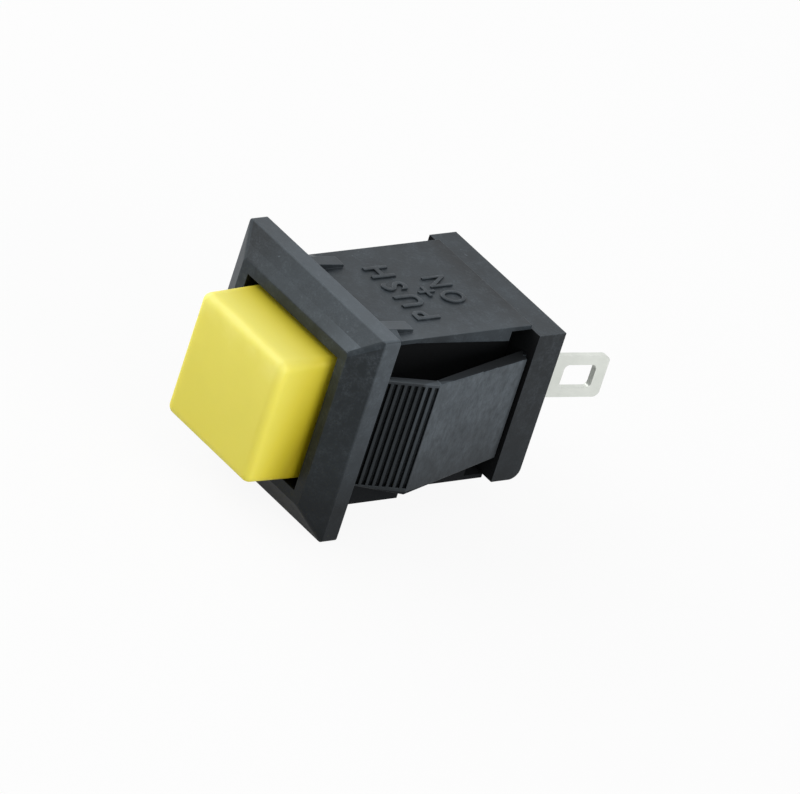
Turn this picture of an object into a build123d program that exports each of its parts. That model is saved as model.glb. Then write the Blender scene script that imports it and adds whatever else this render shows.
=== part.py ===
from build123d import *
import math
import os

# Momentary push-button switch, square, snap-in, two solder lugs.
# The button moves along Y. Y = 0 is the back of the bezel, which seats on the panel,
# -Y is the button's side, +Y is behind the panel, and +Z is the lettered face.
# All sizes are in millimetres.

# ---- housing: bezel ----
bezel_side = 14.7          # square outline that covers the cut-out
bezel_rim = 1.15           # straight part of the bezel's edge
bezel_height = 2.35        # seat to front ring
ring_side = 11.2           # outline of the flat ring at the front
opening_side = 9.7         # square opening round the button
opening_depth = 1.45       # how far the opening goes in before the guide
bezel_corner_radius = 0.3
bezel_edge_radius = 0.12

# ---- housing: body behind the panel ----
body_width = 11.9          # across the collar, fills a 12 mm cut-out
collar_height = 10.8
collar_length = 2.15
collar_lower_radius = 0.75 # rear lower edge
body_length = 15.0         # seat to rear end
plate_width = 10.04        # top and bottom plates
plate_span = 11.3          # over both plates
plate_lip = 0.3            # thickness of a plate's overhanging edge
skirt_front_y = 3.6        # wedge that stiffens each overhanging edge
skirt_rear_y = 11.3
skirt_drop = 1.0           # its lowest point, below the plate's outer face
skirt_wall = 0.5
web_half_width = 3.55      # outside of the side walls between the plates
web_wall = 0.6
guide_side = 9.0           # square bore that guides cap and plunger
guide_wall = 0.45
guide_end_gap = 0.15       # left behind the flange at full travel
guide_rear_wall = 0.4      # closes the guide towards the side pockets
chamber_wall = 1.45        # top and bottom walls of the spring chamber

# ---- housing: snap wings, one on each side ----
wing_root_inset = 0.2      # wing surface below the collar's side
wing_crest_reach = 7.6     # crest from the centre line
wing_crest_y = 4.15
wing_tip_reach = 6.36
wing_tip_y = 0.55
wing_thickness = 0.42
wing_root_thickness = 0.9
wing_half_height = 3.9
wing_root_half_height = 3.68
wing_crest_drop = 0.35     # how much lower the bottom edge is at the crest
wing_groove_count = 8
wing_groove_pitch = 0.435
wing_edge_radius = 0.15    # along the outer face's long edges
wing_groove_width = 0.27
wing_groove_depth = 0.25
wing_lip = 0.27            # uncut strip along the wing's top edge
root_groove_width = 0.3
root_groove_depth = 0.4

# ---- housing: shoulders and ribs ----
shoulder_length = 5.3
shoulder_height = 1.55
shoulder_ramp = 0.9
rib_offset = 3.75          # rib centre from the centre line
rib_width = 0.95
rib_length = 3.8
rib_height = 0.62          # at the bezel
rib_end_height = 0.2       # at the blunt rear end
gusset_length = 2.4        # sloping fill between a rib and the plate's side
gusset_drop = 0.02         # below the rib's top

# ---- button cap and plunger ----
cap_side = 8.88
cap_front_side = 8.8
cap_reach = 6.1            # front face in front of the seat
cap_front_wall = 1.2
cap_side_wall = 1.1
cap_rear_corner = 0.35     # radius of the upright edges at the rear
cap_front_corner = 0.6     # and at the front, where they run into the front edges
cap_front_radius = 0.55
travel = 2.0
plunger_flange = 0.95
flange_clearance = 0.15
fit_clearance = 0.05       # between pieces that don't move
plunger_rib = 1.3
stem_radius = 1.2
stem_clearance = 0.07
pin_radius = 0.6
spring_boss_length = 1.45

# ---- partition, hub and springs ----
partition_y = 7.6
partition_thickness = 0.8
hub_radius = 2.0
hub_length = 1.6
return_wire = 0.45
return_radius = 2.5        # mean radius of the coil
return_turns = 6.5
contact_wire = 0.2
contact_radius = 1.0
contact_turns = 4.5
contact_spring_room = 1.8  # between the stem's shoulder and the bridge
spring_seat_gap = 0.03
washer_radius = 2.1
washer_thickness = 0.3
washer_gap = 0.1
groove_depth = 0.3

# ---- contacts ----
bridge_thickness = 0.3
bridge_length = 5.4
bridge_width = 2.4
bridge_hole_clearance = 0.15
contact_offset = 2.0       # contact centre from the centre line
rivet_radius = 0.7
rivet_height = 0.3
rivet_dome = 0.35          # share of the head's height that is domed
contact_gap = 1.2
stake_radius = 1.1
stake_height = 0.25

# ---- base plate and terminals ----
base_width = 9.9
base_height = 8.9
base_thickness = 1.0
base_recess = 0.15         # base plate below the housing's rear end
well_depth = 0.55
well_clearance = 0.4
metal = 0.4                # terminal sheet
lug_x = 3.6                # blade centre where it leaves the base
lug_z = 0.77               # the right lug sits this much high, the left one low
lug_width = 3.06
lug_reach = 5.8            # beyond the housing's rear end
lug_splay = 9.5            # degrees
lug_straight = 0.25
lug_hole_length = 2.3
lug_hole_width = 1.7
lug_hole_margin = 0.83     # lug end to hole
lug_corner = 0.5           # radius
tab_inner_x = 1.25
tab_clearance = 0.2        # round the tabs, inside the housing
tab_room = 0.2             # in front of the tabs

# ---- values that follow ----
collar_y = body_length - collar_length
plate_top = plate_span / 2
lip_z = plate_top - plate_lip
chamber_half_x = web_half_width - web_wall
chamber_half_z = plate_top - chamber_wall
guide_y = opening_depth - bezel_height
cap_rear_y = guide_y + 0.1
flange_rear_y = cap_rear_y + plunger_flange
guide_end = flange_rear_y + travel + guide_end_gap
base_rear_y = body_length - base_recess
base_front_y = base_rear_y - base_thickness
tab_front_y = base_front_y - metal
bridge_rear_y = tab_front_y - contact_gap - 2 * rivet_height
bridge_front_y = bridge_rear_y - bridge_thickness
stem_shoulder_y = bridge_front_y - contact_spring_room


def facing_front(y):
    """Plane across the button's axis, seen from the front: x is X, y is Z."""
    return Plane(origin=(0, y, 0), x_dir=(1, 0, 0), z_dir=(0, -1, 0))


def block(x0, x1, y0, y1, z0, z1):
    """Box between two corners."""
    centre = ((x0 + x1) / 2, (y0 + y1) / 2, (z0 + z1) / 2)
    return Pos(*centre) * Box(abs(x1 - x0), y1 - y0, z1 - z0)


def square_bar(side, y0, y1):
    """Square bar along Y."""
    return block(-side / 2, side / 2, y0, y1, -side / 2, side / 2)


def rod(radius, y0, y1, x=0.0, z=0.0):
    """Round bar along Y."""
    turned = Rot(90, 0, 0) * Cylinder(radius, y1 - y0)
    return Pos(x, (y0 + y1) / 2, z) * turned


def plan_prism(points, z0, z1):
    """Outline in the XY plane, raised from z0 to z1."""
    face = make_face(Polyline(*points, close=True))
    return Pos(0, 0, z0) * extrude(face, z1 - z0, dir=(0, 0, 1))


def side_prism(points, x0, x1):
    """Outline of (y, z) points, carried from x0 to x1."""
    face = make_face(Polyline(*[(x0, y, z) for y, z in points], close=True))
    return extrude(face, x1 - x0, dir=(1, 0, 0))


def make_bezel():
    """Square frame with a straight rim and four sloping facets."""
    outline = RectangleRounded(bezel_side, bezel_side, bezel_corner_radius)
    ring = RectangleRounded(ring_side, ring_side, bezel_corner_radius)
    rim = extrude(facing_front(0) * outline, bezel_rim)
    facets = loft([facing_front(-bezel_rim) * outline, facing_front(-bezel_height) * ring])
    facets = fillet(facets.edges().group_by(Axis.Y)[0], bezel_edge_radius)
    return rim + facets


def make_body():
    """Plates, side webs, guide box and rear collar, still solid inside."""
    plates = block(-plate_width / 2, plate_width / 2, 0, collar_y, -plate_top, plate_top)
    for side in (-1, 1):
        pocket = block(
            side * web_half_width, side * plate_width, 0, collar_y, -lip_z, lip_z
        )
        plates -= pocket
    skirt = [
        (skirt_front_y, plate_top - plate_lip / 2), (skirt_front_y, lip_z),
        (skirt_rear_y, plate_top - skirt_drop), (skirt_rear_y, plate_top - plate_lip / 2),
    ]
    wedge = side_prism(skirt, plate_width / 2 - skirt_wall, plate_width / 2)
    wedges = wedge + mirror(wedge, about=Plane.YZ)
    plates += wedges
    plates += mirror(wedges, about=Plane.XY)
    guide_half = guide_side / 2 + guide_wall
    guide_box = block(-guide_half, guide_half, 0, guide_end, -lip_z, lip_z)
    wall_half = guide_half - guide_wall / 2
    guide_box += block(
        -wall_half, wall_half, 0, guide_end + guide_rear_wall, -lip_z, lip_z
    )
    collar = block(
        -body_width / 2, body_width / 2, collar_y, body_length,
        -collar_height / 2, collar_height / 2,
    )
    rear_edges = collar.edges().filter_by(Axis.X).group_by(Axis.Y)[-1]
    collar = fillet(rear_edges.sort_by(Axis.Z)[0], collar_lower_radius)
    return plates + guide_box + collar


def make_inside():
    """Everything that is hollow inside the housing, as one cutter."""
    inside = square_bar(opening_side, -bezel_height, guide_y)
    inside += square_bar(guide_side, guide_y, guide_end)
    inside += block(
        -chamber_half_x, chamber_half_x, guide_end, partition_y,
        -chamber_half_z, chamber_half_z,
    )
    partition_end = partition_y + partition_thickness
    tab_room_y = tab_front_y - tab_room
    inside += block(
        -chamber_half_x, chamber_half_x, partition_end, tab_room_y,
        -chamber_half_z, chamber_half_z,
    )
    base_half_x = base_width / 2 + fit_clearance
    base_half_z = base_height / 2 + fit_clearance
    tab_half_x = lug_x + metal / 2 + tab_clearance
    inside += block(
        -tab_half_x, tab_half_x, tab_room_y, base_front_y, -chamber_half_z, chamber_half_z
    )
    inside += block(
        -base_half_x, base_half_x, base_front_y, body_length, -base_half_z, base_half_z
    )
    hub = rod(hub_radius, partition_y - hub_length, partition_y)
    bore = rod(stem_radius + stem_clearance, partition_y - hub_length, partition_end)
    return inside - hub + bore


def make_wing():
    """Snap wing on the +X side: a springy strip that stands out to a crest."""
    root_x = body_width / 2 - wing_root_inset
    plan = [
        (root_x, collar_y),
        (wing_crest_reach, wing_crest_y),
        (wing_tip_reach, wing_tip_y),
        (wing_tip_reach - wing_thickness, wing_tip_y),
        (wing_crest_reach - wing_thickness * 1.1, wing_crest_y),
        (root_x - wing_root_thickness, collar_y),
    ]
    wing = plan_prism(plan, -wing_half_height - wing_crest_drop, wing_half_height)
    edge = [
        (wing_tip_y, wing_half_height),
        (wing_crest_y, wing_half_height),
        (collar_y, wing_root_half_height),
        (collar_y, -wing_root_half_height),
        (wing_crest_y, -wing_half_height - wing_crest_drop),
        (wing_tip_y, -wing_half_height),
    ]
    wing &= side_prism(edge, 0, wing_crest_reach + 1)
    long_edges = wing.edges().filter_by(
        lambda line: line.length > wing_crest_y / 2 and abs(line.center().Z) > wing_half_height / 2
    )
    wing = fillet(long_edges.sort_by(Axis.X)[-4:], wing_edge_radius)
    slope = (wing_crest_reach - wing_tip_reach) / (wing_crest_y - wing_tip_y)
    ramp_angle = math.degrees(math.atan(slope))
    top = wing_half_height - wing_lip
    bottom = -wing_half_height + wing_lip / 2
    first_y = wing_crest_y - wing_groove_width / 2
    for number in range(wing_groove_count):
        y = first_y - number * wing_groove_pitch
        x = wing_crest_reach - (wing_crest_y - y) * slope
        cutter = Box(2 * wing_groove_depth, wing_groove_width, top - bottom)
        wing -= Pos(x, y, (top + bottom) / 2) * Rot(0, 0, -ramp_angle) * cutter
    wing -= block(
        root_x - root_groove_depth, root_x + 1, collar_y - root_groove_width, collar_y,
        -wing_half_height, wing_half_height,
    )
    return wing


def make_shoulder():
    """Lower corner block on the +X side that fills the cut-out behind the bezel."""
    outer = body_width / 2
    plan = [
        (web_half_width, 0),
        (outer, 0),
        (outer, shoulder_length),
        (plate_width / 2, shoulder_length + shoulder_ramp),
        (web_half_width, shoulder_length + shoulder_ramp),
    ]
    return plan_prism(plan, -plate_top, -plate_top + shoulder_height)


def make_rib():
    """Wedge rib that stiffens the bezel's back, with a gusset down to the plate's side."""
    base_z = plate_top - plate_lip / 2
    profile = [
        (0, base_z),
        (0, plate_top + rib_height),
        (rib_length, plate_top + rib_end_height),
        (rib_length, base_z),
    ]
    rib_side = rib_offset + rib_width / 2
    rib = side_prism(profile, rib_offset - rib_width / 2, rib_side)
    fall = (rib_height - rib_end_height) / rib_length
    gusset = []
    for y in (0, gusset_length):
        crest_z = plate_top + rib_height - fall * y - gusset_drop
        corners = [
            (rib_side - rib_width / 2, base_z), (plate_width / 2, base_z),
            (plate_width / 2, plate_top), (rib_side, crest_z),
            (rib_side - rib_width / 2, crest_z),
        ]
        gusset.append(facing_front(y) * make_face(Polyline(*corners, close=True)))
    return rib + loft(gusset)


def make_housing():
    """One moulding: bezel, plates, collar, snap wings, shoulders and ribs."""
    housing = make_bezel() + make_body()
    for piece in (make_wing(), make_shoulder()):
        housing += piece
        housing += mirror(piece, about=Plane.YZ)
    rib = make_rib()
    ribs = rib + mirror(rib, about=Plane.YZ)
    housing += ribs
    housing += mirror(ribs, about=Plane.XY)
    return housing - make_inside()


def make_button_cap():
    """Hollow coloured cap with soft front edges."""
    rear = RectangleRounded(cap_side, cap_side, cap_rear_corner)
    front = RectangleRounded(cap_front_side, cap_front_side, cap_front_corner)
    cap = loft([facing_front(cap_rear_y) * rear, facing_front(-cap_reach) * front])
    cap = fillet(cap.edges().group_by(Axis.Y)[0], cap_front_radius)
    hollow_side = cap_side - 2 * cap_side_wall
    return cap - square_bar(hollow_side, -cap_reach + cap_front_wall, cap_rear_y)


def make_plunger():
    """Slider: crossed ribs that hold the cap, a flange, a stem and a staked pin."""
    rib_half = cap_side / 2 - cap_side_wall - fit_clearance
    head_y = -cap_reach + cap_front_wall + fit_clearance
    plunger = block(-rib_half, rib_half, head_y, cap_rear_y, -plunger_rib / 2, plunger_rib / 2)
    plunger += block(-plunger_rib / 2, plunger_rib / 2, head_y, cap_rear_y, -rib_half, rib_half)
    plunger += square_bar(guide_side - 2 * flange_clearance, cap_rear_y, flange_rear_y)
    boss_radius = return_radius - return_wire / 2 - fit_clearance * 2
    plunger += rod(boss_radius, flange_rear_y, flange_rear_y + spring_boss_length)
    plunger += rod(stem_radius, flange_rear_y, stem_shoulder_y)
    washer_y = partition_y + partition_thickness + washer_gap
    neck = rod(stem_radius, washer_y, washer_y + washer_thickness)
    neck -= rod(stem_radius - groove_depth, washer_y, washer_y + washer_thickness)
    plunger -= neck
    stake_y = bridge_rear_y + fit_clearance
    plunger += rod(pin_radius, stem_shoulder_y, stake_y)
    plunger += rod(stake_radius, stake_y, stake_y + stake_height)
    return plunger


def make_retaining_washer():
    """Split washer in the stem's groove that keeps the plunger in the housing."""
    washer_y = partition_y + partition_thickness + washer_gap
    inner = stem_radius - groove_depth + fit_clearance
    washer = rod(washer_radius, washer_y, washer_y + washer_thickness)
    washer -= rod(inner, washer_y, washer_y + washer_thickness)
    slot = block(-inner, inner, washer_y, washer_y + washer_thickness, -washer_radius, 0)
    return washer - slot


def make_coil(radius, wire, turns, y0, y1):
    """Compression spring between two faces, with closed turns at both ends."""
    low = y0 + wire / 2 + spring_seat_gap
    high = y1 - wire / 2 - spring_seat_gap
    steps_per_turn = 12
    count = round(turns * steps_per_turn)
    rise = high - low
    dead = 1.08 * wire     # pitch of a closed turn
    free_pitch = (rise - 2 * dead) / (turns - 2)
    points = []
    for step in range(count + 1):
        turn = step / steps_per_turn
        if turn < 1:
            along = dead * turn
        elif turn > turns - 1:
            along = rise - dead * (turns - turn)
        else:
            along = dead + free_pitch * (turn - 1)
        angle = 2 * math.pi * turn
        points.append((radius * math.cos(angle), low + along, radius * math.sin(angle)))
    path = Spline(*points)
    section = Plane(origin=path @ 0, z_dir=path % 0) * Circle(wire / 2)
    return sweep(section, path, is_frenet=True)


def make_return_spring():
    """Pushes the plunger forward from the partition."""
    return make_coil(return_radius, return_wire, return_turns, flange_rear_y, partition_y)


def make_contact_spring():
    """Presses the bridge against the staked head, and gives the contact force."""
    return make_coil(
        contact_radius, contact_wire, contact_turns, stem_shoulder_y, bridge_front_y
    )


def make_contact_bridge():
    """Plated strip that joins the two fixed contacts when the button is down."""
    strip = block(
        -bridge_length / 2, bridge_length / 2, bridge_front_y, bridge_rear_y,
        -bridge_width / 2, bridge_width / 2,
    )
    strip = fillet(strip.edges().filter_by(Axis.Y), bridge_width / 6)
    hole = rod(pin_radius + bridge_hole_clearance, bridge_front_y, bridge_rear_y)
    return strip - hole


def make_rivet(side, seat_y, direction):
    """Contact rivet head that stands on a strip, with a slightly domed face."""
    dome = rivet_height * rivet_dome
    ball_radius = (rivet_radius**2 + dome**2) / (2 * dome)
    head = rod(rivet_radius, 0, rivet_height)
    head &= Pos(0, rivet_height - ball_radius, 0) * Sphere(ball_radius)
    if direction < 0:
        head = mirror(head, about=Plane.XZ)
    return Pos(side * contact_offset, seat_y, 0) * head


def make_base_plate():
    """Rear closure that carries the terminals, with a well for the staked head."""
    base = block(
        -base_width / 2, base_width / 2, base_front_y, base_rear_y,
        -base_height / 2, base_height / 2,
    )
    base -= rod(stake_radius + well_clearance, base_front_y, base_front_y + well_depth)
    for side in (-1, 1):
        half_x = metal / 2 + fit_clearance
        half_z = lug_width / 2 + fit_clearance
        base -= block(
            side * lug_x - half_x, side * lug_x + half_x, base_front_y, base_rear_y,
            side * lug_z - half_z, side * lug_z + half_z,
        )
    return base


def make_terminal():
    """Right terminal: a tab under the contact, a bend, a blade and a pierced lug."""
    tab_y = tab_front_y + metal / 2
    bend_y = body_length + lug_straight
    tip_y = body_length + lug_reach
    tip_x = lug_x + (tip_y - bend_y) * math.tan(math.radians(lug_splay))
    path = FilletPolyline(
        (tab_inner_x, tab_y), (lug_x, tab_y), (lug_x, bend_y), (tip_x, tip_y),
        radius=metal / 2 + 0.01,
    )
    section = Plane(origin=path @ 0, x_dir=(0, 1, 0), z_dir=path % 0)
    terminal = sweep(section * Rectangle(metal, lug_width), path)
    margin = lug_hole_margin + lug_hole_length / 2
    hole = extrude(
        Plane.YZ * Pos(tip_y - margin, 0) * RectangleRounded(
            lug_hole_length, lug_hole_width, lug_hole_width / 5
        ),
        amount=3 * lug_x,
    )
    terminal -= hole
    rounded = RectangleRounded(2 * tip_y, lug_width, lug_corner)
    terminal &= extrude(Plane.YZ * rounded, amount=3 * lug_x)
    return Pos(0, 0, lug_z) * terminal


def build_parts():
    """Every node's name and solid."""
    terminal = make_terminal()
    parts = {
        "housing": make_housing(),
        "button_cap": make_button_cap(),
        "plunger": make_plunger(),
        "retaining_washer": make_retaining_washer(),
        "return_spring": make_return_spring(),
        "contact_spring": make_contact_spring(),
        "contact_bridge": make_contact_bridge(),
        "base_plate": make_base_plate(),
        "terminal_right": terminal,
        "terminal_left": Rot(0, 180, 0) * terminal,
    }
    for name, side in (("left", -1), ("right", 1)):
        parts["bridge_contact_" + name] = make_rivet(side, bridge_rear_y, 1)
        parts["fixed_contact_" + name] = make_rivet(side, tab_front_y, -1)
    return parts


os.makedirs("parts", exist_ok=True)
for node, shape in build_parts().items():
    export_step(shape, os.path.join("parts", node + ".step"))
    print(node, len(shape.solids()), "solid", round(shape.volume, 2), "mm3")
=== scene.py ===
import math

import bpy
from mathutils import Matrix, Vector


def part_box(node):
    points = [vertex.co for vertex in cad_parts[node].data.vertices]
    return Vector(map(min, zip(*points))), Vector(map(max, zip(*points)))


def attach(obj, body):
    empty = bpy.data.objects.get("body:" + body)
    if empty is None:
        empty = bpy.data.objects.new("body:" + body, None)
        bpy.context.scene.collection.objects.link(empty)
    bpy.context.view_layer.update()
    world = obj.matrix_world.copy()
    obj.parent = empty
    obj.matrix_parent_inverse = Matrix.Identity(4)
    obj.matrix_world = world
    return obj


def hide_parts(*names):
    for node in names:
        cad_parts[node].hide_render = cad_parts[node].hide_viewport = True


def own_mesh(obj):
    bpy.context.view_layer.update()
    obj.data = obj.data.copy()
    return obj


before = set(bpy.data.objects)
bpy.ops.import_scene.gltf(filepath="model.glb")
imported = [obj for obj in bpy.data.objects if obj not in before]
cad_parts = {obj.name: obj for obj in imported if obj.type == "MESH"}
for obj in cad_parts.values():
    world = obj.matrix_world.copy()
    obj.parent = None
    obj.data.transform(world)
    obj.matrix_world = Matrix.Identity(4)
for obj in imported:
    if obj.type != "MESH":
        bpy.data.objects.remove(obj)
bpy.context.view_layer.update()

# Momentary push-button switch, square, snap-in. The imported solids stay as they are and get
# their finishes here; the raised marking and the two springs are added round them.
# Lengths are written in millimetres and turned to metres by MM.
MM = 0.001


# ---------------------------------------------------------------- camera
# The switch is seen from above on its right, from far enough to keep its edges parallel,
# and the view leans over so that the button points down to the left.
camera_right = Vector((0.57344, 0.77058, 0.27816)).normalized()
camera_back = Vector((0.61827, -0.62982, 0.47018)).normalized()
camera_up = camera_back.cross(camera_right).normalized()
camera_right = camera_up.cross(camera_back)
camera_place = Vector((481.45, -481.60, 363.71)) * MM
SENSOR = 36.0
LENS = 562.5

camera_data = bpy.data.cameras.new("camera")
camera_data.sensor_width = SENSOR
camera_data.lens = LENS
camera_data.clip_start = 0.01
camera_data.clip_end = 10.0
camera = bpy.data.objects.new("camera", camera_data)
turn = Matrix((camera_right, camera_up, camera_back)).transposed().to_4x4()
camera.matrix_world = Matrix.Translation(camera_place) @ turn
bpy.context.scene.collection.objects.link(camera)
bpy.context.scene.camera = camera


# ---------------------------------------------------------------- studio
# A white table in a white room. One soft box hangs in front on the left, one stands on the
# left and one low on the right, all about as strong, and the room gives the rest.
def linear(code):
    """A colour written as sRGB hex, such as 1a2b3c, in the linear values that shaders take."""
    parts = [int(code[i : i + 2], 16) / 255 for i in (0, 2, 4)]
    return tuple(
        p / 12.92 if p <= 0.04045 else ((p + 0.055) / 1.055) ** 2.4 for p in parts
    ) + (1.0,)


def node(tree, kind, links=None, **settings):
    """Adds a node. settings are its own values; links sets or joins its sockets by name."""
    new = tree.nodes.new(kind)
    for name, value in settings.items():
        setattr(new, name, value)
    for name, value in (links or {}).items():
        if isinstance(value, bpy.types.NodeSocket):
            tree.links.new(value, new.inputs[name])
        else:
            new.inputs[name].default_value = value
    return new


def material(name):
    """A new node material with nothing in it but its output."""
    made = bpy.data.materials.new(name)
    made.use_nodes = True
    made.node_tree.nodes.clear()
    return made, made.node_tree, made.node_tree.nodes.new("ShaderNodeOutputMaterial")


def seen_ray(tree, straight, shiny):
    """How much of its own white a surface shows: straight for rays that look at it or through
    a clear one, shiny for rays off a shiny face, and nothing for the light that it gives."""
    path = node(tree, "ShaderNodeLightPath")
    look = node(tree, "ShaderNodeMath", {0: path.outputs["Is Camera Ray"],
                                         1: path.outputs["Is Transmission Ray"]},
                operation="MAXIMUM")
    look = node(tree, "ShaderNodeMath", {0: look.outputs[0], 1: straight}, operation="MULTIPLY")
    gloss = node(tree, "ShaderNodeMath", {0: path.outputs["Is Glossy Ray"], 1: shiny},
                 operation="MULTIPLY")
    both = node(tree, "ShaderNodeMath", {0: look.outputs[0], 1: gloss.outputs[0]},
                operation="MAXIMUM")
    return both.outputs[0]


FLOOR_Z = -7.37
FLOOR_SIZE = 3000.0
FLOOR_WHITE = 0.92   # share of the table's look that is plain white; the rest shows the shadow
FLOOR_SHINE = 0.3    # the same share where a glossy face mirrors the table
bpy.ops.object.select_all(action="DESELECT")
bpy.ops.mesh.primitive_plane_add(size=FLOOR_SIZE * MM, location=(0, 0, FLOOR_Z * MM))
floor = bpy.context.active_object
floor.name = "table"
table_paint, tree, out = material("White Table Laminate")
plain = node(tree, "ShaderNodeBsdfDiffuse", {"Color": linear("d8d8d8")})
glow = node(tree, "ShaderNodeEmission", {"Color": (1, 1, 1, 1), "Strength": 1.0})
both = node(tree, "ShaderNodeMixShader", {0: seen_ray(tree, FLOOR_WHITE, FLOOR_SHINE),
                                          1: plain.outputs[0], 2: glow.outputs[0]})
tree.links.new(both.outputs[0], out.inputs["Surface"])
floor.data.materials.append(table_paint)

world = bpy.data.worlds.new("room")
bpy.context.scene.world = world
world.use_nodes = True
tree = world.node_tree
tree.nodes.clear()
ROOM_LIGHT = 0.6
white = node(tree, "ShaderNodeBackground", {"Color": (1, 1, 1, 1), "Strength": 1.0})
dim = node(tree, "ShaderNodeBackground", {"Color": (1, 1, 1, 1), "Strength": ROOM_LIGHT})
both = node(tree, "ShaderNodeMixShader", {0: seen_ray(tree, 1.0, 1.0), 1: dim.outputs[0],
                                          2: white.outputs[0]})
out = node(tree, "ShaderNodeOutputWorld", {"Surface": both.outputs[0]})


def lamp(name, place, size, power):
    """A square soft box that faces the switch."""
    data = bpy.data.lights.new(name, "AREA")
    data.shape = "SQUARE"
    data.size = size * MM
    data.energy = power
    box = bpy.data.objects.new(name, data)
    spot = Vector(place) * MM
    box.matrix_world = Matrix.Translation(spot) @ spot.to_track_quat("Z", "Y").to_matrix().to_4x4()
    bpy.context.scene.collection.objects.link(box)


lamp("soft_box_main", (-250, -230, 300), 300, 0.8)
lamp("soft_box_left", (-420, 0, 150), 260, 0.9)
lamp("soft_box_right", (430, 60, 120), 230, 1.0)

bpy.context.scene.view_settings.view_transform = "Standard"


# ---------------------------------------------------------------- housing
# One moulding in black PA66 nylon: bezel, plates, collar and snap wings. The mould was
# spark-eroded, so the skin is an even fine grain, a little uneven in gloss where the melt
# flowed. Handling burnishes its edges and rubs its wings and rim pale. Painted light makes
# the top's near side and the upper parts of the rim and wings paler, and painted shade
# darkens its lower half, its hollows, its sides away from the light and the space behind
# the wings, which is painted black.
GRAIN = 0.14       # spark-eroded grain, drawn about twice its real size so that it shows
FLOW = 0.9         # patches where the skin is duller or shinier
CLOUD = 3.2        # broad uneven blackness
MARKS = 0.35       # dust and scuff marks
STREAK = 0.42      # rubbed streaks on the wings
BURNISHED = 0.07   # radius of the burnished edges
HOLLOW = 5.0       # how far the painted shade reaches into the housing's hollows
FADE_Z = (-6.0, 5.0)    # burnish, frost and specks go from faint at the bottom to full on top, a painted shade low down
SHADE_Z = (5.0, -5.0)    # and the black from plain on top to painted shade at the bottom
NYLON = "272d32"
NYLON_RUBBED = "6c757d"
# matt black, for uneven patches and for painted shade
NYLON_DULL_AND_SHADE = "0b0c0e"
# near black painted shade in the hollows and in the space behind the wings
NYLON_PAINTED_SHADE = "040405"

# Where things are on the housing, in millimetres.
PLATE_TOP = 5.65   # the plates' outer faces
RAISED_Z = 5.69    # what stands up from the top plate is above this
RIM_OUT = (7.23, 7.31)  # the bezel's rim starts between these distances from the middle
RIM_Z = (-5.0, 7.35)    # and gets paler from here to here, by wear and by painted light from above
BEZEL_BACK = 0.02  # what lies further back isn't the bezel
COLLAR_Y = 12.84   # the collar starts here
COLLAR_FACE = 12.8      # its front face is just behind this
REAR_BAND = 2.3    # painted shade darkens the plates over this length in front of it
WING_X = 5.15      # outside this the surface is a snap wing
WING_Y = (4.15, 12.6)   # the plain ramp of a wing, from its crest to its tip
WING_SOFT = (0.25, 0.15, 0.4)   # lengths over which its streaks start, at side, crest and tip
WORN_AND_LIT_Z = (-4.0, 0.5)    # and they, with painted light from above, get stronger from here to here
UNDER_Z = -4.0     # below this the plates' side gets the painted shadow of the wings
RIDGES = (2.2, 1.95)    # middle and half length of the grip ridges, along the switch
CUT_Y = (8.5, 4.2)      # the same for a wing's cut sides
CUT_Z = (3.62, 0.36)    # and for their distance from the middle, upwards or down
TOP_Z = (5.95, 0.35)    # and for the top plate with all that stands up from it
CORE = (4.98, 5.37, 12.83)   # half width, half height and end of the space behind the wings, painted black as shade
CORNER_X = (2.4, 4.7)   # painted light grows on the top plate's near edge from here to here
NEAR_X = (-2.0, 7.0)    # and all faces on top a little, from here to here
LIT_AND_RUBBED_Y = (1.0, 9.0)   # both less towards the rear
FAR_X = (-2.5, -5.5)    # painted shade darkens the bezel's top from here to here

# How a face has to point, by the parts of its normal.
LEVEL = 0.7        # more than this up or down
UPWARDS = 0.5      # more than this up
SIDEWAYS = 0.5     # more than this to the near side
FORWARDS = -0.9    # less than this to the rear

# How far each place is mixed to the rubbed colour, as wear or painted light, or to the dull one,
# as uneven patches or painted shade.
EDGE_RUB, PATCH_RUB, SPECK_RUB, RIM_RUB_AND_LIGHT = 0.22, 0.12, 0.35, 0.26
CORNER_LIGHT, RAISED_RUB, NEAR_LIGHT = 0.2, 0.05, 0.09
WING_RUB = (0.11, 0.36)
LOW_SHADE, CLOUD_DULL, FAR_SHADE = 0.9, 0.4, 0.9
RIDGE_SHADE, REAR_SHADE, FLANK_SHADE = 0.7, 0.8, 0.6


def per_mm(size):
    """Noise scale for features of this size in millimetres."""
    return 1 / (size * MM)


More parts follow.
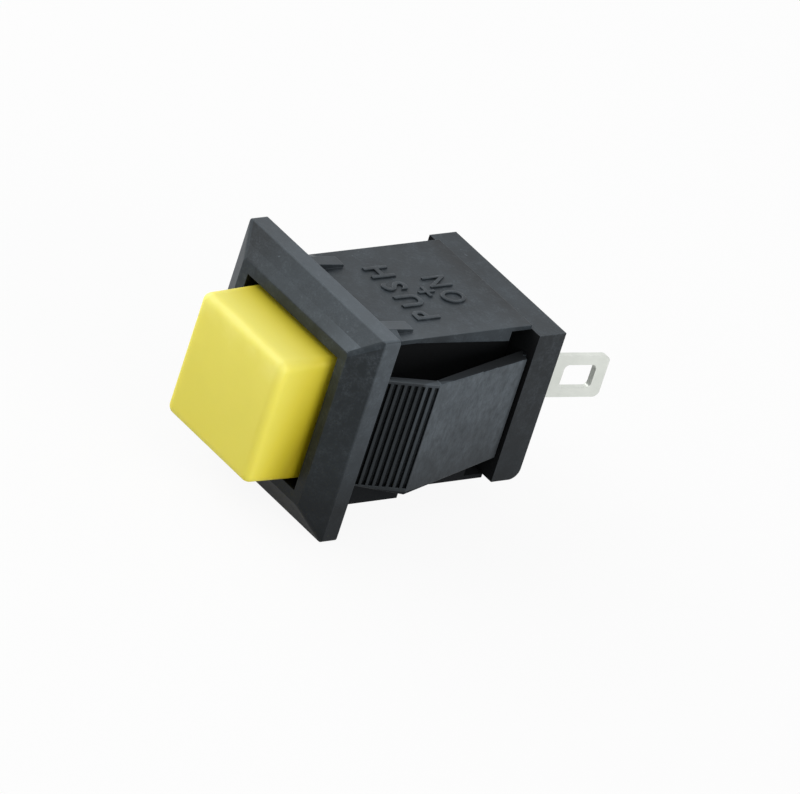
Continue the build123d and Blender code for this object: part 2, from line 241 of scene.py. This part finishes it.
def worn_and_shaded_housing(tree, place, cloud, paler, dull, unshaded, gloss):
    """The housing's own wear, with painted light and shade. It changes the last four values where
    hands rub the housing, with painted light on the top's near side, the rim and the wings'
    ramps, and with painted shade where its shape shelters it, on the sides away from the
    light, and as black in the space behind its wings."""
    apart = node(tree, "ShaderNodeSeparateXYZ", {"Vector": place})
    side = node(tree, "ShaderNodeMath", {0: apart.outputs["X"]}, operation="ABSOLUTE")
    upright = node(tree, "ShaderNodeMath", {0: apart.outputs["Z"]}, operation="ABSOLUTE")
    flat = node(tree, "ShaderNodeNewGeometry")
    normal = node(tree, "ShaderNodeSeparateXYZ", {"Vector": flat.outputs["Normal"]})
    tilt = node(tree, "ShaderNodeMath", {0: normal.outputs["Z"]}, operation="ABSOLUTE")
    level = node(tree, "ShaderNodeMath", {0: tilt.outputs[0], 1: LEVEL},
                 operation="GREATER_THAN")
    skyward = node(tree, "ShaderNodeMath", {0: normal.outputs["Z"], 1: UPWARDS},
                   operation="GREATER_THAN")
    behind = node(tree, "ShaderNodeMath", {0: apart.outputs["Y"], 1: BEZEL_BACK * MM},
                  operation="GREATER_THAN")
    collar = node(tree, "ShaderNodeMath", {0: apart.outputs["Y"], 1: COLLAR_Y * MM},
                  operation="GREATER_THAN")

    # Painted shade, with less wear: between the ridges, on the wings' cut sides, and on the body
    # under the wings.
    ridges = node(tree, "ShaderNodeMath", {0: apart.outputs["Y"], 1: RIDGES[0] * MM,
                                           2: RIDGES[1] * MM}, operation="COMPARE")
    outside = node(tree, "ShaderNodeMath", {0: side.outputs[0], 1: WING_X * MM},
                   operation="GREATER_THAN")
    ridges = node(tree, "ShaderNodeMath", {0: ridges.outputs[0], 1: outside.outputs[0]},
                  operation="MULTIPLY")
    ridges = node(tree, "ShaderNodeMath", {0: ridges.outputs[0], 1: RIDGE_SHADE},
                  operation="MULTIPLY")
    cut = node(tree, "ShaderNodeMath", {0: apart.outputs["Y"], 1: CUT_Y[0] * MM,
                                        2: CUT_Y[1] * MM}, operation="COMPARE")
    cut_height = node(tree, "ShaderNodeMath", {0: upright.outputs[0], 1: CUT_Z[0] * MM,
                                               2: CUT_Z[1] * MM}, operation="COMPARE")
    for also in (cut_height, level):
        cut = node(tree, "ShaderNodeMath", {0: cut.outputs[0], 1: also.outputs[0]},
                   operation="MULTIPLY")
    under = node(tree, "ShaderNodeMath", {0: apart.outputs["Z"], 1: UNDER_Z * MM},
                 operation="LESS_THAN")
    under = node(tree, "ShaderNodeMath", {0: under.outputs[0], 1: behind.outputs[0]},
                 operation="MULTIPLY")
    for bar in (collar, level):
        under = node(tree, "ShaderNodeMath", {0: under.outputs[0], 1: bar.outputs[0]},
                     operation="SUBTRACT", use_clamp=True)
    sheltered_and_shaded = ridges
    for also in (cut, under):
        sheltered_and_shaded = node(tree, "ShaderNodeMath", {0: sheltered_and_shaded.outputs[0], 1: also.outputs[0]},
                         operation="MAXIMUM")
    handled = node(tree, "ShaderNodeMath", {0: 1.0, 1: sheltered_and_shaded.outputs[0]},
                   operation="SUBTRACT")
    paler = node(tree, "ShaderNodeMath", {0: paler.outputs[0], 1: handled.outputs[0]},
                 operation="MULTIPLY")

    # Paler on top: painted light on the top plate's near corner and on every face on top towards
    # the near side, and a little wear on what stands up from that plate.
    near_side_light = node(tree, "ShaderNodeMapRange", {"Value": apart.outputs["X"],
                                                  "From Min": NEAR_X[0] * MM,
                                                  "From Max": NEAR_X[1] * MM,
                                                  "To Min": 0.0, "To Max": NEAR_LIGHT})
    top_plate = node(tree, "ShaderNodeMath", {0: apart.outputs["Z"], 1: TOP_Z[0] * MM,
                                              2: TOP_Z[1] * MM}, operation="COMPARE")
    corner = node(tree, "ShaderNodeMapRange", {"Value": apart.outputs["X"],
                                               "From Min": CORNER_X[0] * MM,
                                               "From Max": CORNER_X[1] * MM,
                                               "To Min": 0.0, "To Max": CORNER_LIGHT})
    raised = node(tree, "ShaderNodeMath", {0: apart.outputs["Z"], 1: RAISED_Z * MM},
                  operation="GREATER_THAN")
    corner = node(tree, "ShaderNodeMath", {0: raised.outputs[0], 1: RAISED_RUB,
                                           2: corner.outputs[0]}, operation="MULTIPLY_ADD")
    lit_and_rubbed_top = node(tree, "ShaderNodeMath", {0: corner.outputs[0], 1: top_plate.outputs[0],
                                               2: near_side_light.outputs[0]},
                      operation="MULTIPLY_ADD")
    towards_rear = node(tree, "ShaderNodeMapRange", {"Value": apart.outputs["Y"],
                                                     "From Min": LIT_AND_RUBBED_Y[0] * MM,
                                                     "From Max": LIT_AND_RUBBED_Y[1] * MM,
                                                     "To Min": 1.0, "To Max": 0.35})
    lit_and_rubbed_top = node(tree, "ShaderNodeMath", {0: lit_and_rubbed_top.outputs[0],
                                               1: towards_rear.outputs[0]},
                      operation="MULTIPLY")
    paler = node(tree, "ShaderNodeMath", {0: lit_and_rubbed_top.outputs[0], 1: skyward.outputs[0],
                                          2: paler.outputs[0]}, operation="MULTIPLY_ADD")

    # Paler along the bezel's rim, most of all on top: wear, and painted light from above.
    widest = node(tree, "ShaderNodeMath", {0: side.outputs[0], 1: upright.outputs[0]},
                  operation="MAXIMUM")
    rim = node(tree, "ShaderNodeMapRange", {"Value": widest.outputs[0],
                                            "From Min": RIM_OUT[0] * MM,
                                            "From Max": RIM_OUT[1] * MM})
    height = node(tree, "ShaderNodeMapRange", {"Value": apart.outputs["Z"],
                                               "From Min": RIM_Z[0] * MM,
                                               "From Max": RIM_Z[1] * MM,
                                               "To Min": 0.0, "To Max": RIM_RUB_AND_LIGHT})
    paler = node(tree, "ShaderNodeMath", {0: rim.outputs[0], 1: height.outputs[0],
                                          2: paler.outputs[0]}, operation="MULTIPLY_ADD")

    # Rubbed in fine streaks on the wings' ramps, with painted light that makes them less and less
    # towards the bottom.
    outer = node(tree, "ShaderNodeMapRange", {"Value": side.outputs[0], "From Min": WING_X * MM,
                                              "From Max": (WING_X + WING_SOFT[0]) * MM})
    front = node(tree, "ShaderNodeMapRange", {"Value": apart.outputs["Y"],
                                              "From Min": WING_Y[0] * MM,
                                              "From Max": (WING_Y[0] + WING_SOFT[1]) * MM})
    rear = node(tree, "ShaderNodeMapRange", {"Value": apart.outputs["Y"],
                                             "From Min": WING_Y[1] * MM,
                                             "From Max": (WING_Y[1] - WING_SOFT[2]) * MM})
    stretched = node(tree, "ShaderNodeMapping", {"Vector": place, "Scale": (1.0, 1.0, 0.6)})
    streak = node(tree, "ShaderNodeTexNoise", {"Vector": stretched.outputs[0],
                                               "Scale": per_mm(STREAK), "Detail": 6.0,
                                               "Roughness": 0.75, "Distortion": 0.15})
    rubbed = node(tree, "ShaderNodeMapRange", {"Value": streak.outputs["Fac"],
                                               "From Min": 0.36, "From Max": 0.66,
                                               "To Min": WING_RUB[0], "To Max": WING_RUB[1]})
    broad = node(tree, "ShaderNodeMapRange", {"Value": cloud.outputs["Fac"],
                                              "From Min": 0.35, "From Max": 0.62,
                                              "To Min": 0.75, "To Max": 1.15})
    worn_and_lit = node(tree, "ShaderNodeMapRange", {"Value": apart.outputs["Z"],
                                             "From Min": WORN_AND_LIT_Z[0] * MM,
                                             "From Max": WORN_AND_LIT_Z[1] * MM,
                                             "To Min": 0.35, "To Max": 1.0})
    for share in (broad, worn_and_lit, outer, front, rear, handled):
        rubbed = node(tree, "ShaderNodeMath", {0: rubbed.outputs[0], 1: share.outputs[0]},
                      operation="MULTIPLY")
    paler = node(tree, "ShaderNodeMath", {0: paler.outputs[0], 1: rubbed.outputs[0]},
                 operation="MAXIMUM")

    # Painted shade: the places out of reach of the light, the plates in front of the collar and
    # its own upright faces, the bezel's near side, and its top towards the far side.
    before = node(tree, "ShaderNodeMapRange", {"Value": apart.outputs["Y"],
                                               "From Min": (COLLAR_Y - REAR_BAND) * MM,
                                               "From Max": COLLAR_Y * MM})
    other = node(tree, "ShaderNodeMath", {0: level.outputs[0], 1: collar.outputs[0]},
                 operation="SUBTRACT")
    other = node(tree, "ShaderNodeMath", {0: other.outputs[0]}, operation="ABSOLUTE")
    rear_end = node(tree, "ShaderNodeMath", {0: before.outputs[0], 1: other.outputs[0]},
                    operation="MULTIPLY")
    rear_end = node(tree, "ShaderNodeMath", {0: rear_end.outputs[0], 1: REAR_SHADE},
                    operation="MULTIPLY")
    sideways = node(tree, "ShaderNodeMath", {0: normal.outputs["X"], 1: SIDEWAYS},
                    operation="GREATER_THAN")
    flank = node(tree, "ShaderNodeMath", {0: sideways.outputs[0], 1: behind.outputs[0]},
                 operation="SUBTRACT", use_clamp=True)
    flank = node(tree, "ShaderNodeMath", {0: flank.outputs[0], 1: FLANK_SHADE},
                 operation="MULTIPLY")
    bezel_top = node(tree, "ShaderNodeMath", {0: skyward.outputs[0], 1: behind.outputs[0]},
                     operation="SUBTRACT", use_clamp=True)
    far_side = node(tree, "ShaderNodeMapRange", {"Value": apart.outputs["X"],
                                                 "From Min": FAR_X[0] * MM,
                                                 "From Max": FAR_X[1] * MM,
                                                 "To Min": 0.0, "To Max": FAR_SHADE})
    far_side = node(tree, "ShaderNodeMath", {0: far_side.outputs[0], 1: bezel_top.outputs[0]},
                    operation="MULTIPLY")
    for also in (sheltered_and_shaded, rear_end, flank, far_side):
        dull = node(tree, "ShaderNodeMath", {0: dull.outputs[0], 1: also.outputs[0]},
                    operation="MAXIMUM")

    # Painted shade, black and matt: the space behind the wings and the collar's front face, which
    # closes it.
    narrow = node(tree, "ShaderNodeMath", {0: side.outputs[0], 1: CORE[0] * MM},
                  operation="LESS_THAN")
    low_enough = node(tree, "ShaderNodeMath", {0: upright.outputs[0], 1: CORE[1] * MM},
                      operation="LESS_THAN")
    ahead = node(tree, "ShaderNodeMath", {0: apart.outputs["Y"], 1: CORE[2] * MM},
                 operation="LESS_THAN")
    core = narrow
    for also in (low_enough, behind, ahead):
        core = node(tree, "ShaderNodeMath", {0: core.outputs[0], 1: also.outputs[0]},
                    operation="MULTIPLY")
    forward = node(tree, "ShaderNodeMath", {0: normal.outputs["Y"], 1: FORWARDS},
                   operation="LESS_THAN")
    at_collar = node(tree, "ShaderNodeMath", {0: apart.outputs["Y"], 1: COLLAR_FACE * MM},
                     operation="GREATER_THAN")
    face = node(tree, "ShaderNodeMath", {0: forward.outputs[0], 1: at_collar.outputs[0]},
                operation="MULTIPLY")
    core = node(tree, "ShaderNodeMath", {0: core.outputs[0], 1: face.outputs[0]},
                operation="MAXIMUM")
    open_air = node(tree, "ShaderNodeMath", {0: 1.0, 1: core.outputs[0]}, operation="SUBTRACT")
    unshaded = node(tree, "ShaderNodeMath", {0: unshaded.outputs[0], 1: open_air.outputs[0]},
                 operation="MULTIPLY")
    for matt in (core, under, cut):
        gloss = node(tree, "ShaderNodeMath", {0: gloss.outputs[0], 1: matt.outputs[0]},
                     operation="MAXIMUM")
    return paler, dull, unshaded, gloss


def black_nylon(name, rubbed, handled):
    """Black nylon moulding that burnishes to the rubbed colour, with painted shade low down and
    in its hollows. handled adds the wear, and the painted light and shade, that only the
    housing has."""
    made, tree, out = material(name)
    place = node(tree, "ShaderNodeTexCoord").outputs["Object"]
    apart = node(tree, "ShaderNodeSeparateXYZ", {"Vector": place})
    grain = node(tree, "ShaderNodeTexNoise", {"Vector": place, "Scale": per_mm(GRAIN),
                                              "Detail": 2.0, "Roughness": 0.6})
    flow = node(tree, "ShaderNodeTexNoise", {"Vector": place, "Scale": per_mm(FLOW),
                                             "Detail": 4.0, "Roughness": 0.65,
                                             "Distortion": 0.4})
    cloud = node(tree, "ShaderNodeTexNoise", {"Vector": place, "Scale": per_mm(CLOUD),
                                              "Detail": 3.0, "Roughness": 0.6})
    marks = node(tree, "ShaderNodeTexNoise", {"Vector": place, "Scale": per_mm(MARKS),
                                              "Detail": 1.0, "Roughness": 0.4})

    # Paler: burnished edges, frosted patches and specks. They fade towards the bottom, a painted
    # shade that leaves the top lighter.
    round_edge = node(tree, "ShaderNodeBevel", {"Radius": BURNISHED * MM}, samples=6)
    flat = node(tree, "ShaderNodeNewGeometry")
    facing = node(tree, "ShaderNodeVectorMath", {0: round_edge.outputs[0],
                                                 1: flat.outputs["Normal"]},
                  operation="DOT_PRODUCT")
    edge = node(tree, "ShaderNodeMapRange", {"Value": facing.outputs["Value"],
                                             "From Min": 0.99, "From Max": 0.8,
                                             "To Min": 0.0, "To Max": EDGE_RUB})
    patch = node(tree, "ShaderNodeMapRange", {"Value": flow.outputs["Fac"],
                                              "From Min": 0.42, "From Max": 0.68,
                                              "To Min": 0.0, "To Max": PATCH_RUB})
    frost = node(tree, "ShaderNodeMapRange", {"Value": grain.outputs["Fac"],
                                              "From Min": 0.4, "From Max": 0.65,
                                              "To Min": 0.4, "To Max": 1.6})
    speck = node(tree, "ShaderNodeMapRange", {"Value": marks.outputs["Fac"],
                                              "From Min": 0.77, "From Max": 0.82,
                                              "To Min": 0.0, "To Max": SPECK_RUB})
    fade = node(tree, "ShaderNodeMapRange", {"Value": apart.outputs["Z"],
                                             "From Min": FADE_Z[0] * MM,
                                             "From Max": FADE_Z[1] * MM,
                                             "To Min": 0.2, "To Max": 1.0})
    paler = node(tree, "ShaderNodeMath", {0: patch.outputs[0], 1: frost.outputs[0],
                                          2: edge.outputs[0]}, operation="MULTIPLY_ADD")
    paler = node(tree, "ShaderNodeMath", {0: paler.outputs[0], 1: speck.outputs[0]},
                 operation="MAXIMUM")
    paler = node(tree, "ShaderNodeMath", {0: paler.outputs[0], 1: fade.outputs[0]},
                 operation="MULTIPLY")

    # Duller: painted shade low down, and broad uneven patches. The last factor is 0 in the
    # hollows, which get painted shade, and 1 outside.
    below = node(tree, "ShaderNodeMapRange", {"Value": apart.outputs["Z"],
                                              "From Min": SHADE_Z[0] * MM,
                                              "From Max": SHADE_Z[1] * MM,
                                              "To Min": 0.0, "To Max": LOW_SHADE})
    uneven = node(tree, "ShaderNodeMapRange", {"Value": cloud.outputs["Fac"],
                                               "From Min": 0.58, "From Max": 0.36,
                                               "To Min": 0.0, "To Max": CLOUD_DULL})
    dull = node(tree, "ShaderNodeMath", {0: below.outputs[0], 1: uneven.outputs[0]},
                operation="MAXIMUM")
    hollow = node(tree, "ShaderNodeAmbientOcclusion", {"Distance": HOLLOW * MM}, samples=8)
    unshaded = node(tree, "ShaderNodeMapRange", {"Value": hollow.outputs["AO"],
                                              "From Min": 0.15, "From Max": 0.6})
    gloss = node(tree, "ShaderNodeMapRange", {"Value": flow.outputs["Fac"],
                                              "From Min": 0.3, "From Max": 0.7,
                                              "To Min": 0.46, "To Max": 0.53})
    if handled:
        paler, dull, unshaded, gloss = worn_and_shaded_housing(tree, place, cloud, paler, dull, unshaded, gloss)

    ground = node(tree, "ShaderNodeMix", {"Factor": dull.outputs[0]}, data_type="RGBA")
    ground.inputs["A"].default_value = linear(NYLON)
    ground.inputs["B"].default_value = linear(NYLON_DULL_AND_SHADE)
    colour = node(tree, "ShaderNodeMix", {"Factor": paler.outputs[0]}, data_type="RGBA")
    tree.links.new(ground.outputs["Result"], colour.inputs["A"])
    colour.inputs["B"].default_value = linear(rubbed)
    shade = node(tree, "ShaderNodeMix", {"Factor": unshaded.outputs[0]}, data_type="RGBA")
    shade.inputs["A"].default_value = linear(NYLON_PAINTED_SHADE)
    tree.links.new(colour.outputs["Result"], shade.inputs["B"])
    bump = node(tree, "ShaderNodeBump", {"Height": grain.outputs["Fac"], "Strength": 0.35,
                                         "Distance": 0.02 * MM, "Normal": round_edge.outputs[0]})
    skin = node(tree, "ShaderNodeBsdfPrincipled", {"Base Color": shade.outputs["Result"],
                                                   "Roughness": gloss.outputs[0], "IOR": 1.5,
                                                   "Specular IOR Level": 0.28,
                                                   "Specular Tint": (0.88, 0.96, 1.0, 1.0),
                                                   "Normal": bump.outputs[0]})
    tree.links.new(skin.outputs[0], out.inputs["Surface"])
    return made


def dress(name, finish):
    """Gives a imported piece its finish."""
    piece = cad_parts[name]
    piece.data.materials.clear()
    piece.data.materials.append(finish)


nylon = black_nylon("Moulded Black Nylon", NYLON_RUBBED, True)
dress("housing", nylon)


# ---------------------------------------------------------------- marking
# Plain function words, cut into the mould, so they stand up from the top plate in the same
# nylon: PUSH, a small cross and ON. They read from the terminals' end.
LETTER_RISE = 0.12    # above the plate
LETTER_ROOT = 0.05    # into it
LETTER_EDGE = 0.02    # rounding of the strokes


def raised_word(name, word, centre, width, height, spacing, weight):
    """A word in raised strokes on the top plate, with its letters' tops towards the bezel.
    spacing is the room a letter takes, and weight is what its strokes gain on each side."""
    bpy.ops.object.select_all(action="DESELECT")
    bpy.ops.object.text_add(location=(0, 0, 0))
    text = bpy.context.active_object
    text.name = name
    text.data.body = word
    text.data.size = height * MM
    text.data.space_character = spacing
    text.data.offset = weight * MM
    text.data.extrude = (LETTER_RISE + LETTER_ROOT - 2 * LETTER_EDGE) / 2 * MM
    text.data.bevel_depth = LETTER_EDGE * MM
    text.data.bevel_resolution = 1
    text.data.resolution_u = 6
    bpy.ops.object.convert(target="MESH")
    corners = [Vector(c) for c in text.bound_box]
    low = Vector(min(c[i] for c in corners) for i in range(3))
    high = Vector(max(c[i] for c in corners) for i in range(3))
    text.data.transform(Matrix.Translation(-(low + high) / 2))
    text.scale = (width * MM / (high.x - low.x), height * MM / (high.y - low.y), 1)
    text.rotation_euler = (0, 0, math.pi)
    middle = PLATE_TOP + (LETTER_RISE - LETTER_ROOT) / 2
    text.location = (centre[0] * MM, centre[1] * MM, middle * MM)
    bpy.ops.object.transform_apply(location=True, rotation=True, scale=True)
    bpy.ops.object.mode_set(mode="EDIT")
    bpy.ops.mesh.select_all(action="SELECT")
    bpy.ops.mesh.remove_doubles(threshold=0.001 * MM)
    bpy.ops.mesh.normals_make_consistent(inside=False)
    bpy.ops.object.mode_set(mode="OBJECT")
    bpy.ops.object.shade_smooth_by_angle(angle=math.radians(35))
    text.data.materials.append(nylon)
    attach(text, "switch_body")


raised_word("word_push", "PUSH", (0.15, 5.9), 6.05, 1.88, 1.5, 0.02)
raised_word("sign_cross", "+", (0.35, 7.77), 1.05, 1.25, 1.0, -0.01)
raised_word("word_on", "ON", (0.35, 9.3), 3.0, 1.78, 1.4, 0.0)


# ---------------------------------------------------------------- button cap
# Yellow ABS, moulded and satin, with a thick and a little translucent wall. Painted light
# makes its upper edges glow, and painted shade deepens the colour to ochre towards the
# black bezel and low down.
CAP_GRAIN = 0.11      # satin grain, drawn a few times its real size so that it shows
CAP_CLOUD = 2.2       # broad uneven tone
CAP_EDGE = 0.6        # radius over which the light in them softens the edges
CAP_DEPTH = (-5.8, -2.4)    # along the cap, from where the painted shade starts to its end
CAP_HEIGHT = (4.4, -4.4)    # from its top to its bottom
TONE_REACH = (0.05, 1.55)   # the sums below that take the first and the last tone
# painted shade: the yellow deepening to ochre towards the bezel and low down
SHADE_TONES = [(0.0, "f5ec76"), (0.03, "ece15e"), (0.1, "e5da57"), (0.45, "d6c73a"),
               (0.75, "bbab1c"), (1.0, "9c8c06")]
# painted highlight on the upper face and edges
PAINTED_EDGE_HIGHLIGHT = "ebe586"

satin, tree, out = material("Moulded Yellow ABS")
place = node(tree, "ShaderNodeTexCoord").outputs["Object"]
apart = node(tree, "ShaderNodeSeparateXYZ", {"Vector": place})
cloud = node(tree, "ShaderNodeTexNoise", {"Vector": place, "Scale": per_mm(CAP_CLOUD),
                                          "Detail": 3.0})
fine = node(tree, "ShaderNodeTexNoise", {"Vector": place, "Scale": per_mm(CAP_GRAIN),
                                         "Detail": 2.0})

# Painted shade: the tone deepens towards the bezel, faster low down, with a little of the broad
# unevenness.
back = node(tree, "ShaderNodeMapRange", {"Value": apart.outputs["Y"],
                                         "From Min": CAP_DEPTH[0] * MM,
                                         "From Max": CAP_DEPTH[1] * MM})
low = node(tree, "ShaderNodeMapRange", {"Value": apart.outputs["Z"],
                                        "From Min": CAP_HEIGHT[0] * MM,
                                        "From Max": CAP_HEIGHT[1] * MM})
gain = node(tree, "ShaderNodeMath", {0: low.outputs[0], 1: 0.75, 2: 0.87},
            operation="MULTIPLY_ADD")
along = node(tree, "ShaderNodeMath", {0: back.outputs[0], 1: gain.outputs[0]},
             operation="MULTIPLY")
along = node(tree, "ShaderNodeMath", {0: low.outputs[0], 1: 0.26, 2: along.outputs[0]},
             operation="MULTIPLY_ADD")
along = node(tree, "ShaderNodeMath", {0: cloud.outputs["Fac"], 1: 0.1, 2: along.outputs[0]},
             operation="MULTIPLY_ADD")
place_on = node(tree, "ShaderNodeMapRange", {"Value": along.outputs[0],
                                             "From Min": TONE_REACH[0],
                                             "From Max": TONE_REACH[1]})
tone = node(tree, "ShaderNodeValToRGB", {"Fac": place_on.outputs[0]})
steps = tone.color_ramp.elements
for number, (spot, code) in enumerate(SHADE_TONES):
    step = steps[number] if number < 2 else steps.new(spot)
    step.position = spot
    step.color = linear(code)

# Painted highlight: the upper face and its rounded edge glow, most of all at the front.
soft_edge = node(tree, "ShaderNodeBevel", {"Radius": CAP_EDGE * MM}, samples=8)
upper = node(tree, "ShaderNodeSeparateXYZ", {"Vector": soft_edge.outputs[0]})
upper = node(tree, "ShaderNodeMapRange", {"Value": upper.outputs["Z"], "From Min": 0.4,
                                          "From Max": 1.0, "To Min": 0.0, "To Max": 0.42})
forward = node(tree, "ShaderNodeMath", {0: 1.0, 1: back.outputs[0]}, operation="SUBTRACT")
painted_highlight = node(tree, "ShaderNodeMath", {0: upper.outputs[0], 1: forward.outputs[0]},
               operation="MULTIPLY")
lit = node(tree, "ShaderNodeMix", {"Factor": painted_highlight.outputs[0]}, data_type="RGBA")
tree.links.new(tone.outputs["Color"], lit.inputs["A"])
lit.inputs["B"].default_value = linear(PAINTED_EDGE_HIGHLIGHT)
bump = node(tree, "ShaderNodeBump", {"Height": fine.outputs["Fac"], "Strength": 0.12,
                                     "Distance": 0.01 * MM, "Normal": soft_edge.outputs[0]})
skin = node(tree, "ShaderNodeBsdfPrincipled", {"Base Color": lit.outputs["Result"],
                                               "Roughness": 0.5, "IOR": 1.53,
                                               "Specular IOR Level": 0.35,
                                               "Subsurface Weight": 0.3,
                                               "Subsurface Radius": (1.0, 0.85, 0.25),
                                               "Subsurface Scale": 0.8 * MM,
                                               "Normal": bump.outputs[0]})
tree.links.new(skin.outputs[0], out.inputs["Surface"])
dress("button_cap", satin)


# ---------------------------------------------------------------- plunger and washer
# The slider is natural nylon, waxy and off-white. The split washer in its groove is stamped
# spring steel, plain grey with fine marks from the press.
WAX_CLOUD = 1.5       # broad uneven tone of the natural nylon
WAX_TONES = ("d9d4c3", "e6e2d4")
METAL_CLOUD = 1.1     # patches of slightly darker metal
DRAWN_OUT = 0.12      # the marks are about eight times as long as they are wide
GLOSS_SPREAD = 0.07   # how far the marks change the roughness, up and down

natural, tree, out = material("Natural Nylon")
place = node(tree, "ShaderNodeTexCoord").outputs["Object"]
cloud = node(tree, "ShaderNodeTexNoise", {"Vector": place, "Scale": per_mm(WAX_CLOUD),
                                          "Detail": 3.0})
tone = node(tree, "ShaderNodeMix", {"Factor": cloud.outputs["Fac"]}, data_type="RGBA")
tone.inputs["A"].default_value = linear(WAX_TONES[0])
tone.inputs["B"].default_value = linear(WAX_TONES[1])
skin = node(tree, "ShaderNodeBsdfPrincipled", {"Base Color": tone.outputs["Result"],
                                               "Roughness": 0.45, "IOR": 1.53,
                                               "Subsurface Weight": 0.2,
                                               "Subsurface Radius": (1.0, 0.9, 0.7),
                                               "Subsurface Scale": 0.6 * MM})
tree.links.new(skin.outputs[0], out.inputs["Surface"])
dress("plunger", natural)


def metal(name, base, dark, roughness, marks, strength, bare=1.0):
    """Sheet or wire metal: two close tones, and fine marks of the given width in millimetres.
    bare is the share that shines as clean metal; the rest is under a dull skin of oxide."""
    made, tree, out = material(name)
    place = node(tree, "ShaderNodeTexCoord").outputs["Object"]
    drawn = node(tree, "ShaderNodeMapping", {"Vector": place, "Scale": (1.0, DRAWN_OUT, 1.0)})
    scratch = node(tree, "ShaderNodeTexNoise", {"Vector": drawn.outputs[0],
                                                "Scale": per_mm(marks), "Detail": 4.0,
                                                "Roughness": 0.6})
    cloud = node(tree, "ShaderNodeTexNoise", {"Vector": place, "Scale": per_mm(METAL_CLOUD),
                                              "Detail": 3.0})
    tone = node(tree, "ShaderNodeMix", {"Factor": cloud.outputs["Fac"]}, data_type="RGBA")
    tone.inputs["A"].default_value = linear(dark)
    tone.inputs["B"].default_value = linear(base)
    rough = node(tree, "ShaderNodeMapRange", {"Value": scratch.outputs["Fac"],
                                              "From Min": 0.3, "From Max": 0.7,
                                              "To Min": roughness - GLOSS_SPREAD,
                                              "To Max": roughness + GLOSS_SPREAD})
    bump = node(tree, "ShaderNodeBump", {"Height": scratch.outputs["Fac"], "Strength": strength,
                                         "Distance": 0.01 * MM})
    skin = node(tree, "ShaderNodeBsdfPrincipled", {"Base Color": tone.outputs["Result"],
                                                   "Metallic": bare,
                                                   "Roughness": rough.outputs[0],
                                                   "Normal": bump.outputs[0]})
    tree.links.new(skin.outputs[0], out.inputs["Surface"])
    return made


dress("retaining_washer", metal("Stamped Spring Steel", "a6a6a4", "8c8c8a", 0.35, 0.1, 0.2))


# ---------------------------------------------------------------- springs
# Both springs are cold-drawn steel wire with closed ends. A spring gets shorter as the button
# goes in; each here is a smoothed copy of its solid.
wire = metal("Drawn Steel Wire", "b2b2b0", "969694", 0.28, 0.06, 0.15)


def working_spring(name, solid, body):
    """A smoothed copy of a packed spring in the wire's finish, attached to body in place of its
    solid.
    """
    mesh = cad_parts[solid].data.copy()
    spring = bpy.data.objects.new(name, mesh)
    bpy.context.scene.collection.objects.link(spring)
    bpy.ops.object.select_all(action="DESELECT")
    bpy.context.view_layer.objects.active = spring
    spring.select_set(True)
    bpy.ops.object.mode_set(mode="EDIT")
    bpy.ops.mesh.select_all(action="SELECT")
    bpy.ops.mesh.remove_doubles(threshold=0.001 * MM)
    bpy.ops.object.mode_set(mode="OBJECT")
    bpy.ops.object.shade_smooth_by_angle(angle=math.radians(40))
    mesh.materials.clear()
    mesh.materials.append(wire)
    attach(spring, body)
    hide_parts(solid)
    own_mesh(spring)


low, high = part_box("return_spring")
working_spring("coil_return", "return_spring", "switch_body")
low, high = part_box("contact_spring")
working_spring("coil_contact", "contact_spring", "button")


# ---------------------------------------------------------------- bridge and contacts
# The bridge is rolled brass strip. The rivets on it and on the terminals are silver alloy,
# softly shiny, with a faint tarnish.
dress("contact_bridge", metal("Rolled Brass Strip", "c9a25a", "b38c48", 0.32, 0.09, 0.2))
silver = metal("Silver Contact Alloy", "d8d6d0", "c2bfb6", 0.3, 0.12, 0.1)
for name in ("bridge_contact_left", "bridge_contact_right", "fixed_contact_left",
             "fixed_contact_right"):
    dress(name, silver)


# ---------------------------------------------------------------- terminals
# Brass sheet, blanked, bent and then tin-plated, so it is a dull warm white with soft
# reflections and fine lines along the blade.
tin = metal("Tin-Plated Brass Sheet", "e0e3dd", "cfd3cc", 0.42, 0.12, 0.15, bare=0.45)
for name in ("terminal_left", "terminal_right"):
    dress(name, tin)


# ---------------------------------------------------------------- base plate
# The rear closure is the same black nylon from a second mould, without the wings' rubbed skin.
BASE_RUBBED = "5a6168"
dress("base_plate", black_nylon("Moulded Black Nylon Base", BASE_RUBBED, False))
